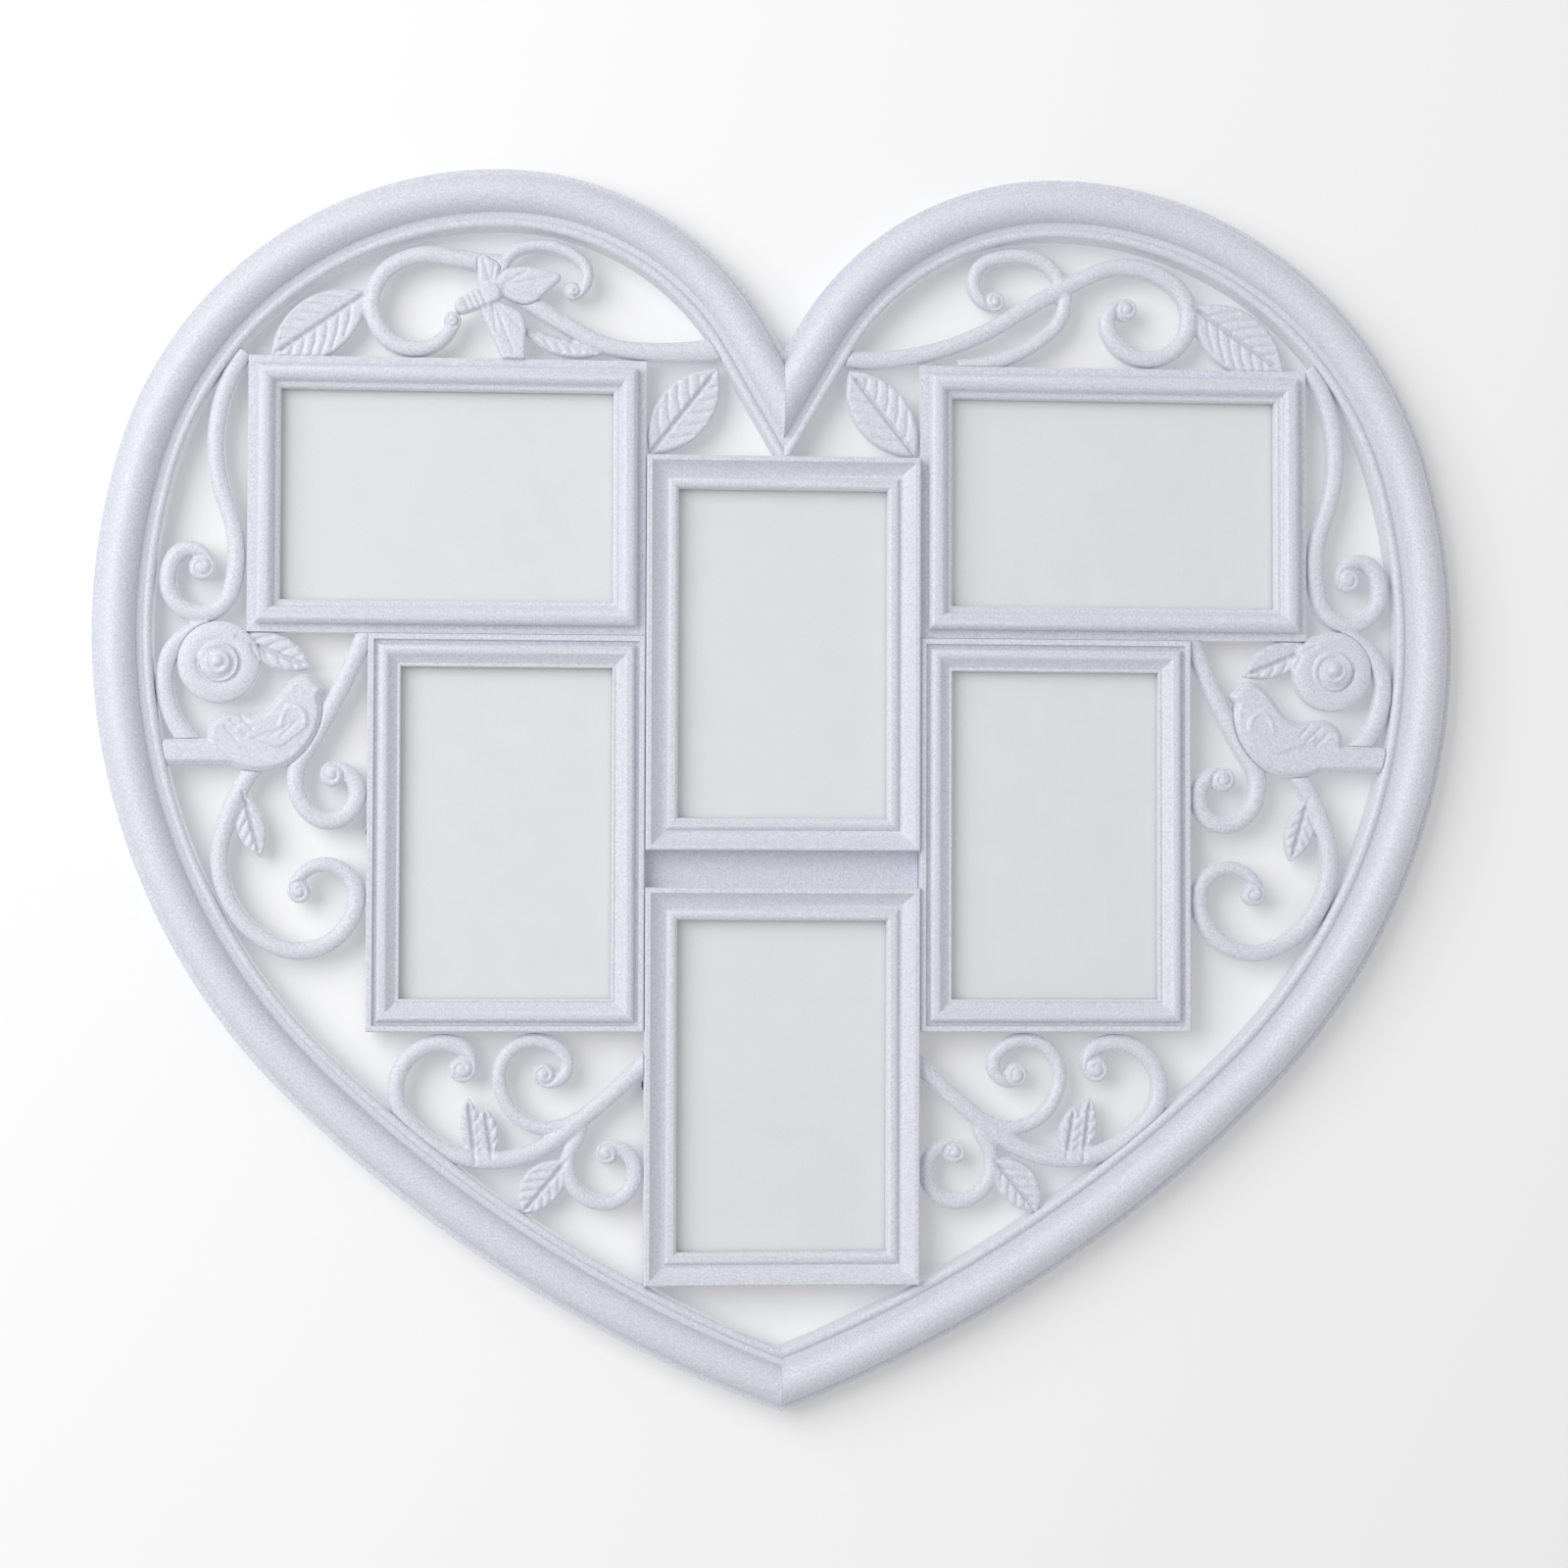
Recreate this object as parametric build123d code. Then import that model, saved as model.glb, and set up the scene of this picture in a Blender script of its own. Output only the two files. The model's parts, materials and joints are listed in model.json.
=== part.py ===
from build123d import *
import os
from math import asin, atan2, ceil, copysign, cos, degrees, radians, sin, sqrt, tan

os.makedirs("parts", exist_ok=True)

# Heart shaped collage photo frame, hung on a wall, in millimetres.
# X runs to the right, Z up, and the front faces minus Y. The wall is the plane Y = 0.
# The origin lies midway between the two keyhole hangers. Heights are measured from the wall to the front.

# Prints, panes and boards
print_w = 101.6
print_h = 152.4
pane_t = 1.2
print_t = 0.3
board_t = 2.5
panel_gap = 0.4

# Window frames
rail_w = 13.8
sight_lap = 6.3
rail_back = 4.5
sight_lip = 3.5
core_wall = 2.0
core_depth = 4.6
frame_gap = 0.3

# Crown profile of the two upper frames
crown_lip_w = 4.2
crown_lip_h = 12.2
crown_h = 18.0
crown_heel = 2.0
crown_bead_w = 2.4
crown_bead_rise = 1.4
crown_quirk = 0.6

# Scoop profile of the centre and lower frames
scoop_lip_w = 2.2
scoop_lip_h = 17.6
scoop_edge = 0.6
scoop_bed_h = 12.6
scoop_sag = 1.6
scoop_bead_w = 5.2
scoop_bead_rise = 2.1

# Band profile of the two side frames
band_lip_w = 2.4
band_lip_h = 15.0
band_edge = 0.5
band_groove_w = 1.9
band_groove_d = 2.0
band_h = 16.4
band_w = 4.8
band_fall = 1.3
band_bead_w = 1.4
band_bead_rise = 1.0
band_bead_root = 0.7

# Layout: height of a lobe over the upper frames, lap of the notch on the centre frame, bar under it
lobe_rise = 81.1
notch_lap = 4.6
web_h = 15.8
web_front = 6.5

# Heart rim outline: radii and turns of its tangent arcs, from the top of a lobe
lobe_in = 107.4
corner_gap = 4.7
notch_r = 129.5
notch_turn = 60.0
lobe_turn = 74.2
side_r = 274.5
side_turn = 60.9
rim_overrun = 4.0

# Heart rim section
rim_w = 25.0
rim_h = 20.0
flange_w = 2.8
flange_h = 11.0
roll_w = 15.6
land_w = 2.6
land_h = 12.6
bead_h = 14.0
rim_wall = 2.4

# Scrollwork
scroll_back = 5.0
scroll_h = 13.0
scroll_side = 0.78
eye_rise = 0.8
branch_sink = 0.6
joint_gap = 0.05
section_turn = 28.0
section_run = 14.0

# Leaves
leaf_h = 11.5
leaf_belly = 0.42
leaf_bevel = 1.2
rib_w = 1.6
rib_depth = 1.4
rib_reach = 0.9

# Rosettes
rosette_r = 17.2
rosette_h = 13.5
rosette_edge = 1.4
rosette_hub_r = 8.2
rosette_hub_h = 15.0
rosette_ring_w = 3.2
rosette_step = 1.2
rosette_button_r = 2.6
rosette_button_rise = 1.4

# Birds and butterfly
bird_h = 14.0
bird_bevel = 2.4
wing_rise = 1.4
butterfly_back = 9.0
butterfly_h = 14.2
butterfly_bevel = 1.0

# Turn buttons and their screws
button_t = 2.2
button_r = 4.2
nose_r = 3.0
nose_reach = 12.5
button_lift = 0.2
button_bevel = 0.5
pivot_r = 1.5
pivot_play = 0.08
boss_r = 4.4
head_r = 2.9
head_t = 1.5
head_gap = 0.1
screw_core_r = 1.2
screw_bite = 5.5
hole_spare = 0.5

# Keyhole hangers and their countersunk screws
plate_w = 42.0
plate_h = 15.0
plate_t = 1.5
plate_round = 3.0
entry_r = 3.8
slot_r = 1.9
slot_rise = 4.4
plate_screw_x = 15.0
plate_screw_r = 1.3
plate_head_r = 2.6
plate_head_t = 1.2
post_r = 3.4

# Rooms that the ornaments are drawn for: over an upper frame, beside it, beside the top of a side frame,
# beside it at a given drop, under its foot, and between the centre frame and the top of an upper frame
crest_room = 167.4
flank_room = 116.6
pocket_room = 50.8
lower_room = 68.7
lower_drop = 100.0
base_room = 92.93
notch_room = 40.22

# Scroll lines: start from a corner of a frame, heading, arcs of radius and turn, widths and end ball
upper_arcs = [(72.3, -54.2), (56.3, 36.7), (13.4, 145.7), (16.8, 53.8), (7.8, 147.1)]
upper_line = ((2, 1.7), -57.3, upper_arcs, 7.2, 4.8, 5.4)
stem_line = ((15.7, 2.2), -8, [(21.4, -80), (38, -58)], 7.4, 8.8, 0)
lower_arcs = [(80.5, -26.4), (39.8, -79.2), (23.7, -109.8), (13.2, -173.4)]
lower_line = ((-6.1, -53.8), -51.4, lower_arcs, 7.4, 5, 4.9)
small_arcs = [(309.4, 11.1), (18.6, -81.8), (11.7, -153.7), (9.9, -68.3)]
small_line = ((0.8, 1.2), -69.4, small_arcs, 7.4, 5.2, 5.4)
base_arcs_a = [(311, 10.8), (44.7, 91), (19.4, 146), (7.9, 100)]
base_line_a = ((-6.2, -7), -46.8, base_arcs_a, 7.2, 5.2, 5.6)
base_arcs_b = [(20, 96), (26.1, 25.1), (15.2, 150.2), (7.3, 157.5)]
base_line_b = ((27.6, -36.3), -38.7, base_arcs_b, 6, 4.8, 4.9)
base_arcs_c = [(15.2, 28.1), (16.3, -113.2), (12.8, -140.6), (8.2, -75.4)]
base_line_c = ((26.6, -39.9), -83.6, base_arcs_c, 6.3, 5, 4.8)
ess_arcs = [(63, 20), (121.6, 28.2), (285.3, -8.3), (32.9, -64.6), (18.1, -214.5), (8, -103.6)]
ess_line = ((-122.1, 4.4), -15.3, ess_arcs, 7.2, 5, 4.8)
sprig_arcs = [(57.9, 44), (18.5, 126), (32.4, 33), (10.1, 150)]
sprig_line = ((-67.3, 0.5), -1, sprig_arcs, 6.2, 4.8, 4.3)
hook_arcs = [(139.7, -10.9), (28.9, 44), (19.7, 104), (17.5, 115)]
hook_line = ((24.3, 41.2), 179.9, hook_arcs, 7.2, 5.6, 3.7)
curl_arcs = [(300, -1), (12, -70.2), (26, -60), (8.3, -124)]
curl_line = ((22.3, 31.1), 90.2, curl_arcs, 5.2, 4.6, 3.7)
trail_arcs = [(600, 4.2), (45, 23.6), (170, 15)]
trail_line = ((21.2, 32.4), -32.6, trail_arcs, 7.2, 9.6, 0)

# Leaves: base and tip from a corner of a frame, and the bulge to each side
rosette_leaf = ((3.9, -2.3), (-27.1, -15.1), 6, 8)
lower_leaf = ((0.9, -67.8), (-6.6, -94.8), 6.5, 5.5)
base_leaf_a = ((70.7, -55), (74, -27.5), 4.4, 4.4)
base_leaf_b = ((63.7, -53), (66.9, -32), 4.5, 5.5)
base_leaf_c = ((32.7, -54.5), (51.2, -76.5), 9.5, 7)
notch_leaf = ((-1.7, 1), (-30.7, 38), 11.5, 11.5)
top_leaf = ((34.6, 27.6), (74.6, -0.4), 12, 13)
trail_leaf = ((29.5, 14.5), (67, 4), 0.4, 7)

# Bird: back, bill, belly and tail lines, and the circles round which the wing is drawn
rosette_at = (11.4, -12.9)
bird_back = [(15.9, -40.8), (4.9, -33.8), (-5.1, -34.3), (-12.1, -28.3), (-17.6, -21.3), (-23.6, -17.6)]
bird_crown = (-29.6, -20.3)
bird_bill = [(-33.5, -24), (-30.9, -27.2)]
bird_belly = [(-31.9, -34.8), (-28.1, -45.8), (-19.1, -55.3), (-6.1, -59), (5.9, -56.4)]
bird_tail = [(37, -56.4), (44, -45.8), (15.9, -44.8)]
bird_wing = [(-21.1, -36.8, 5.2), (-13.1, -42.8, 5.4), (1.9, -41.3, 1.6)]

# Butterfly: circles round which each wing and the body are drawn
tall_wing = [(14.4, 41.7, 2.5), (18.8, 38.6, 2.7), (16.1, 33, 4)]
wide_wing = [(32.2, 31.4, 8.1), (25.6, 34.4, 4.1), (45.4, 35, 2), (20.5, 30, 2.6)]
hind_wing = [(18, 20.8, 4.6), (25, 14.4, 7.6), (27.8, 0.3, 4.8)]
butterfly_body = [(5.8, 22.2, 3.5), (17.7, 27.6, 4.4)]

# Sizes that follow from the ones above
sight_w = print_w - 2 * sight_lap
sight_h = print_h - 2 * sight_lap
frame_w = sight_w + 2 * rail_w
frame_h = sight_h + 2 * rail_w
back_w = rail_w - sight_lap - panel_gap
print_back = rail_back + board_t
pane_back = print_back + print_t
ledge_h = pane_back + pane_t
sight_front = ledge_h + sight_lip
pivot_in = back_w / 2
button_front = rail_back - button_lift
button_back = button_front - button_t
head_front = button_back - head_gap
clear_h = rim_h + scroll_back
branch_h = scroll_h - branch_sink

# Places that follow from the ones above
top_z = rim_w / 2
upper_top = top_z - lobe_rise
seam_z = upper_top - frame_w
inner_x = frame_w / 2 + frame_gap
upper_out_x = inner_x + frame_h
side_out_x = inner_x + frame_w
side_foot = seam_z - frame_gap - frame_h
lobe_x = upper_out_x - lobe_in
hang_x = lobe_x


def shifted(point, distance, angle):
    """Point moved by a distance along an angle measured from +Z towards +X."""
    return (point[0] + distance * sin(radians(angle)), point[1] + distance * cos(radians(angle)))


def notch_apex(inset):
    """Height at the middle of the notch's straight run, a given distance in from the outer edge."""
    end = shifted((lobe_x, top_z - notch_r), notch_r - inset, -notch_turn)
    return end[1] - end[0] * tan(radians(notch_turn))


centre_top = notch_apex(rim_w) + notch_lap
lower_top = centre_top - frame_h - web_h
lower_foot = lower_top - frame_h


def heart_arcs():
    """Centre, radius and first and last angle of the arcs of the right half of the outline.

    The lobe's radius leaves the corner gap round the upper frame, and the flank's radius lets the inner
    wall of the rim meet the corner of the lower frame.
    """
    keep = rim_w + corner_gap
    lobe_r = (lobe_in**2 + lobe_rise**2 - keep**2) / (2 * (lobe_rise - keep))
    notch = (lobe_x, top_z - notch_r)
    lobe = (lobe_x, top_z - lobe_r)
    side = shifted(lobe, lobe_r - side_r, lobe_turn)
    turn = lobe_turn + side_turn
    keep = rim_w + joint_gap
    reach = Vector(frame_w / 2 - side[0], lower_foot - side[1])
    along = reach.X * sin(radians(turn)) + reach.Y * cos(radians(turn))
    flank_r = (keep**2 - reach.length**2 + 2 * side_r * along - side_r**2) / (2 * (along - side_r + keep))
    flank = shifted(side, side_r - flank_r, turn)
    return {
        "notch": (notch, notch_r, -notch_turn, 0),
        "lobe": (lobe, lobe_r, 0, lobe_turn),
        "side": (side, side_r, lobe_turn, turn),
        "flank": (flank, flank_r, turn, tip_angle(flank, flank_r)),
    }


def tip_angle(centre, radius):
    """Angle at which an arc of the flank meets the middle of the heart."""
    return 180 - degrees(asin(-centre[0] / radius))


# Centre, width, height and profile of each window
windows = {
    "upper_left": (-inner_x - frame_h / 2, seam_z + frame_w / 2, frame_h, frame_w, "crown"),
    "upper_right": (inner_x + frame_h / 2, seam_z + frame_w / 2, frame_h, frame_w, "crown"),
    "side_left": (-inner_x - frame_w / 2, side_foot + frame_h / 2, frame_w, frame_h, "band"),
    "side_right": (inner_x + frame_w / 2, side_foot + frame_h / 2, frame_w, frame_h, "band"),
    "centre": (0, centre_top - frame_h / 2, frame_w, frame_h, "scoop"),
    "lower": (0, lower_foot + frame_h / 2, frame_w, frame_h, "scoop"),
}


def raised(face, back, front):
    """Extrude a face drawn in X and Z between two heights above the wall."""
    return extrude(Plane.XZ.offset(back) * face, front - back)


def block(cx, cz, width, height, back, front):
    """Box given by its centre in X and Z and two heights above the wall."""
    return raised(Pos(cx, cz) * Rectangle(width, height), back, front)


def disc(cx, cz, radius, back, front):
    """Cylinder square to the wall between two heights."""
    return raised(Pos(cx, cz) * Circle(radius), back, front)


def biggest(shape):
    """Largest solid of a shape."""
    return shape.solids().sort_by(SortBy.VOLUME)[-1]


def bevelled(solid, size):
    """Solid with the edges of its front face cut back."""
    return chamfer(solid.faces().sort_by(Axis.Y)[0].edges(), size)


def heart_inside(inset):
    """Face inside the heart, a given distance in from its outer edge."""
    arcs = heart_arcs()
    edges = []
    for name, (centre, radius, first, last) in arcs.items():
        reach = radius - inset
        end = tip_angle(centre, reach) if name == "flank" else last
        edges.append(ThreePointArc(*[shifted(centre, reach, a) for a in (first, (first + end) / 2, end)]))
    notch_end = edges[0] @ 0
    edges.append(Line((notch_end.X, notch_end.Y), (0, notch_apex(inset))))
    edges.append(Line((0, notch_apex(inset)), edges[3] @ 1))
    half = make_face(edges)
    return half + mirror(half, about=Plane.YZ)


# Rim
def rim_section():
    """Rim section in distance from the outer edge and height, open at the back."""
    roll = flange_w + roll_w / 2
    land = flange_w + roll_w
    bead = land + land_w
    inner = rim_w - rim_wall
    under = land_h - rim_wall
    flange_under = flange_h - rim_wall
    return make_face([
        Polyline((rim_wall, 0), (0, 0), (0, flange_h), (flange_w, flange_h)),
        ThreePointArc((flange_w, flange_h), (roll, rim_h), (land, land_h)),
        Line((land, land_h), (bead, land_h)),
        ThreePointArc((bead, land_h), ((bead + rim_w) / 2, bead_h), (rim_w, land_h)),
        Polyline((rim_w, land_h), (rim_w, 0), (inner, 0), (inner, under), (land, under)),
        ThreePointArc((land, under), (roll, rim_h - rim_wall), (flange_w + rim_wall, flange_under)),
        Polyline((flange_w + rim_wall, flange_under), (rim_wall, flange_under), (rim_wall, 0)),
    ])


def section_plane(centre, angle):
    """Plane through an arc's centre, with local X outward and local Y to the front."""
    a = radians(angle)
    return Plane((centre[0], 0, centre[1]), x_dir=(sin(a), 0, cos(a)), z_dir=(cos(a), 0, -sin(a)))


def rim_half():
    """Right half of the rim: revolved arcs and a straight run to the notch, cut at the middle."""
    section = mirror(rim_section(), about=Plane.YZ)
    rim = Part()
    arcs = heart_arcs()
    for name, (centre, radius, first, last) in arcs.items():
        face = section_plane(centre, first) * Pos(radius, 0) * section
        past = rim_overrun if name == "flank" else 0
        rim += revolve(face, Axis((centre[0], 0, centre[1]), (0, 1, 0)), last - first + past)
    centre, radius, first, _ = arcs["notch"]
    face = section_plane(centre, first) * Pos(radius, 0) * section
    a = radians(first)
    run = shifted(centre, radius - rim_w, first)[0] / cos(a) + rim_w
    rim += extrude(face, run, dir=(-cos(a), 0, sin(a)))
    for x in (hang_x - plate_screw_x, hang_x + plate_screw_x):
        rim += disc(x, 0, post_r, plate_t, rim_h - rim_wall)
        rim -= disc(x, 0, plate_screw_r + joint_gap, plate_t, plate_t + screw_bite + hole_spare)
    rim = split(rim, Plane.YZ.offset(joint_gap / 2), keep=Keep.TOP)
    for cx, cz, width, height, _ in windows.values():
        rim -= block(cx, cz, width + 2 * joint_gap, height + 2 * joint_gap, 0, rim_h)
    return biggest(rim)


# Window frames
def crown_front():
    """Front of the crown profile: a flat lip, a round crown and a small bead at the sight edge."""
    bead = rail_w - crown_bead_w
    heel = bead - crown_quirk
    heel_h = sight_front + crown_heel
    quirk_h = heel_h - crown_quirk
    bead_top = ((bead + rail_w) / 2, sight_front + crown_bead_rise)
    return [
        Polyline((0, rail_back), (0, crown_lip_h), (crown_lip_w, crown_lip_h)),
        ThreePointArc((crown_lip_w, crown_lip_h), ((crown_lip_w + heel) / 2, crown_h), (heel, heel_h)),
        Line((heel, heel_h), (bead, quirk_h)),
        ThreePointArc((bead, quirk_h), bead_top, (rail_w, sight_front)),
    ]


def scoop_front():
    """Front of the scoop profile: a high outer lip, a cove and a broad bead at the sight edge."""
    bed = rail_w - scoop_bead_w
    lip = (scoop_lip_w, scoop_lip_h)
    cove = ((scoop_lip_w + bed) / 2, scoop_bed_h + scoop_sag)
    bead_top = ((bed + rail_w) / 2, scoop_bed_h + scoop_bead_rise)
    return [
        Polyline((0, rail_back), (0, scoop_lip_h - scoop_edge), (scoop_edge, scoop_lip_h), lip),
        ThreePointArc(lip, cove, (bed, scoop_bed_h)),
        ThreePointArc((bed, scoop_bed_h), bead_top, (rail_w, sight_front)),
    ]


def band_front():
    """Front of the band profile: a lip, a groove, a round band, a slope and a thin bead."""
    groove = band_lip_w + band_groove_w
    groove_h = band_lip_h - band_groove_d
    crest = groove + band_w
    bead = rail_w - band_bead_w
    bead_root = sight_front + band_bead_root
    bead_top = ((bead + rail_w) / 2, sight_front + band_bead_rise)
    return [
        Polyline(
            (0, rail_back), (0, band_lip_h - band_edge), (band_edge, band_lip_h), (band_lip_w, band_lip_h),
            (band_lip_w + band_edge, groove_h), (groove, groove_h),
        ),
        ThreePointArc((groove, groove_h), ((groove + crest) / 2, band_h), (crest, band_h - band_fall)),
        Line((crest, band_h - band_fall), (bead, bead_root)),
        ThreePointArc((bead, bead_root), bead_top, (rail_w, sight_front)),
    ]


fronts = {"crown": crown_front, "scoop": scoop_front, "band": band_front}


def rail_section(kind):
    """Section of one rail in distance from its outer edge and height, rebate included."""
    rebate = Polyline(
        (rail_w, sight_front), (rail_w, ledge_h), (back_w, ledge_h), (back_w, rail_back), (0, rail_back),
    )
    return make_face(fronts[kind]() + [rebate])


def pivots(width, height):
    """Places of a window's two turn buttons, with the angle in degrees that each nose points at."""
    if width > height:
        reach = height / 2 - pivot_in
        return [(0, reach, -90), (0, -reach, 90)]
    reach = width / 2 - pivot_in
    return [(-reach, 0, 0), (reach, 0, 180)]


def window_frame(width, height, kind):
    """Four mitred rails round the origin, cored at the back, with bosses for the turn buttons."""
    section = mirror(rail_section(kind), about=Plane.YZ)
    start = Plane((width / 2, 0, 0), x_dir=(1, 0, 0), z_dir=(0, 0, -1))
    path = Plane.XZ * Rectangle(width, height).wire()
    frame = sweep(start * section, path=path, transition=Transition.RIGHT)
    inset = back_w - core_wall
    outer = Rectangle(width - 2 * core_wall, height - 2 * core_wall)
    inner = Rectangle(width - 2 * inset, height - 2 * inset)
    core = raised(outer - inner, rail_back, rail_back + core_depth)
    for x, z, _ in pivots(width, height):
        core -= disc(x, z, boss_r, rail_back, rail_back + core_depth)
    frame -= core
    for x, z, _ in pivots(width, height):
        frame -= disc(x, z, screw_core_r + joint_gap, rail_back, rail_back + screw_bite + hole_spare)
    return frame


# Scrollwork
def bend(point, heading, radius, turn):
    """Point reached along an arc from a point and heading, the heading measured from +X towards +Z."""
    chord = 2 * radius * sin(radians(abs(turn) / 2))
    middle = radians(heading + turn / 2)
    return (point[0] + chord * cos(middle), point[1] + chord * sin(middle))


def bar_plane(point, heading):
    """Plane across a bar at a point, with local Y to the front."""
    a = radians(heading)
    return Plane((point[0], -scroll_back, point[1]), x_dir=(-sin(a), 0, cos(a)), z_dir=(cos(a), 0, sin(a)))


def bar_section(width, front):
    """Upright bar section with a rounded front, from the back of the scrollwork."""
    rise = front - scroll_back
    side = rise * scroll_side
    return make_face([
        Polyline((-width / 2, side), (-width / 2, 0), (width / 2, 0), (width / 2, side)),
        ThreePointArc((width / 2, side), (0, rise), (-width / 2, side)),
    ])


def scroll(start, heading, arcs, width, end_width, eye, front=scroll_h):
    """Bar swept along tangent arcs, tapered over the last of them, with a ball at its end."""
    point = start
    angle = heading
    edges = []
    for radius, turn in arcs[:-1]:
        end = bend(point, angle, radius, turn)
        edges.append(ThreePointArc(point, bend(point, angle, radius, turn / 2), end))
        point = end
        angle += turn
    bar = Part()
    if edges:
        path = Plane.XZ * Wire(edges)
        bar += sweep(bar_plane(start, heading) * bar_section(width, front), path=path)
    radius, turn = arcs[-1]
    run = radius * radians(abs(turn))
    steps = max(2, ceil(abs(turn) / section_turn), ceil(run / section_run))
    sections = []
    for step in range(steps + 1):
        share = step / steps
        plane = bar_plane(bend(point, angle, radius, turn * share), angle + turn * share)
        sections.append(plane * bar_section(width + (end_width - width) * share, front))
    bar += loft(sections)
    if eye:
        x, z = bend(point, angle, radius, turn)
        a = radians(angle + turn)
        inward = (eye - end_width / 2) * (1 if turn > 0 else -1)
        bar += end_ball(x - inward * sin(a), z + inward * cos(a), eye, front)
    return bar


def end_ball(x, z, radius, front):
    """Round end of a scroll, with the section of its bar."""
    half = split(bar_section(2 * radius, front + eye_rise), Plane.YZ, keep=Keep.TOP)
    plane = Plane((x, -scroll_back, z), x_dir=(1, 0, 0), z_dir=(0, 0, -1))
    return revolve(plane * half, Axis((x, 0, z), (0, 1, 0)), 360)


def leaf(base, tip, left, right):
    """Pointed leaf from its base to its tip, bulging to each side, bevelled, with a groove for its rib."""
    along = Vector(tip[0] - base[0], tip[1] - base[1])
    across = Vector(-along.Y, along.X).normalized()
    middle = Vector(base[0], base[1]) + along * leaf_belly
    blade = make_face([
        ThreePointArc(base, middle + across * left, tip),
        ThreePointArc(tip, middle - across * right, base),
    ])
    angle = degrees(atan2(along.Y, along.X))
    reach = along.length * rib_reach
    rib = Pos(base[0], base[1]) * Rot(0, 0, angle) * Pos(reach / 2, 0) * Rectangle(reach, rib_w)
    return bevelled(raised(blade, scroll_back, leaf_h), leaf_bevel) - raised(rib, leaf_h - rib_depth, leaf_h)


def room(corner):
    """Distance from a corner to the inner wall of the rim's flank, down and outward at 45 degrees."""
    centre, radius, _, _ = heart_arcs()["flank"]
    reach = Vector(corner[0] - centre[0], corner[1] - centre[1])
    along = (reach.X - reach.Y) / sqrt(2)
    half_chord = sqrt(along**2 - reach.length**2 + (radius - rim_w)**2)
    return copysign(half_chord, radius) - along


def rim_reach(z):
    """Distance in X from the middle of the heart to the inner wall of the rim's side at a height."""
    centre, radius, _, _ = heart_arcs()["side"]
    return centre[0] + sqrt((radius - rim_w)**2 - (z - centre[1])**2)


def hull(circles):
    """Outline drawn tight round circles, each given by its centre and radius."""
    return make_hull([edge for x, z, r in circles for edge in (Pos(x, z) * Circle(r)).edges()])


# Ornaments
def bird_outline():
    """Outline of the bird: back and head, bill, breast and belly, and a straight tail."""
    return make_face([
        Spline(*bird_back, bird_crown),
        Polyline(bird_crown, *bird_bill),
        Spline(bird_bill[-1], *bird_belly),
        Polyline(bird_belly[-1], *bird_tail, bird_back[0]),
    ])


def bird():
    """Bird in relief, with a raised wing."""
    body = bevelled(raised(bird_outline(), scroll_back, bird_h), bird_bevel)
    return body + raised(hull(bird_wing), scroll_back, bird_h + wing_rise)


def butterfly_outline():
    """Wings and body of the butterfly, seen from the front."""
    return hull(tall_wing) + hull(wide_wing) + hull(hind_wing) + hull(butterfly_body)


def butterfly():
    """Butterfly laid over the scrolls: three bevelled wings and a raised body."""
    shape = bevelled(raised(hull(butterfly_body), butterfly_back, butterfly_h + wing_rise), butterfly_bevel)
    for wing in (tall_wing, wide_wing, hind_wing):
        shape += bevelled(raised(hull(wing), butterfly_back, butterfly_h), butterfly_bevel)
    return shape


def rosette():
    """Turned rosette: a broad outer band, two steps and a button."""
    hub = rosette_hub_r
    ring = hub - rosette_ring_w
    step_h = rosette_hub_h + rosette_step
    band_root = rosette_h - rosette_edge / 2
    button_h = step_h + rosette_button_rise
    section = make_face([
        Polyline((0, scroll_back), (rosette_r, scroll_back), (rosette_r, rosette_h - rosette_edge)),
        ThreePointArc(
            (rosette_r, rosette_h - rosette_edge), ((rosette_r + hub) / 2, rosette_h), (hub, band_root),
        ),
        Polyline(
            (hub, band_root), (hub, rosette_hub_h), (ring, rosette_hub_h), (ring, step_h),
            (rosette_button_r, step_h),
        ),
        TangentArc((0, button_h), (rosette_button_r, step_h), tangent=(1, 0)),
        Line((0, button_h), (0, scroll_back)),
    ])
    x, z = rosette_at
    turned = Plane((x, 0, z), x_dir=(1, 0, 0), z_dir=(0, 0, -1)) * section
    return revolve(turned, Axis((x, 0, z), (0, 1, 0)), 360)


field = raised(heart_inside(rim_w + joint_gap), 0, clear_h)
for cx, cz, width, height, _ in windows.values():
    field -= block(cx, cz, width + 2 * joint_gap, height + 2 * joint_gap, 0, clear_h)


def placed(place, share, shape):
    """Shape grown by the share of its room that there is, and moved to its corner."""
    return Pos(place[0], 0, place[1]) * scale(shape, by=share)


def fitted(place, share, *shapes):
    """Shapes joined, placed and trimmed to the space between the rim and the frames."""
    joined = shapes[0]
    for shape in shapes[1:]:
        joined += shape
    return placed(place, share, joined) & field


# Panels, turn buttons and hangers
def turn_button(x, z, angle):
    """Turn button with its nose at an angle, bored for the shoulder of its screw."""
    plan = hull([(0, 0, button_r), (nose_reach, 0, nose_r)]) - Circle(pivot_r + pivot_play)
    plate = raised(Pos(x, z) * Rot(0, 0, angle) * plan, button_back, button_front)
    rim = plate.faces().sort_by(Axis.Y)[-1].outer_wire().edges()
    return chamfer(rim, button_bevel)


def button_screw(x, z):
    """Shouldered screw that a turn button swings on."""
    screw = disc(x, z, head_r, head_front - head_t, head_front)
    screw += disc(x, z, pivot_r, head_front, rail_back)
    return screw + disc(x, z, screw_core_r, rail_back, rail_back + screw_bite)


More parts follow.
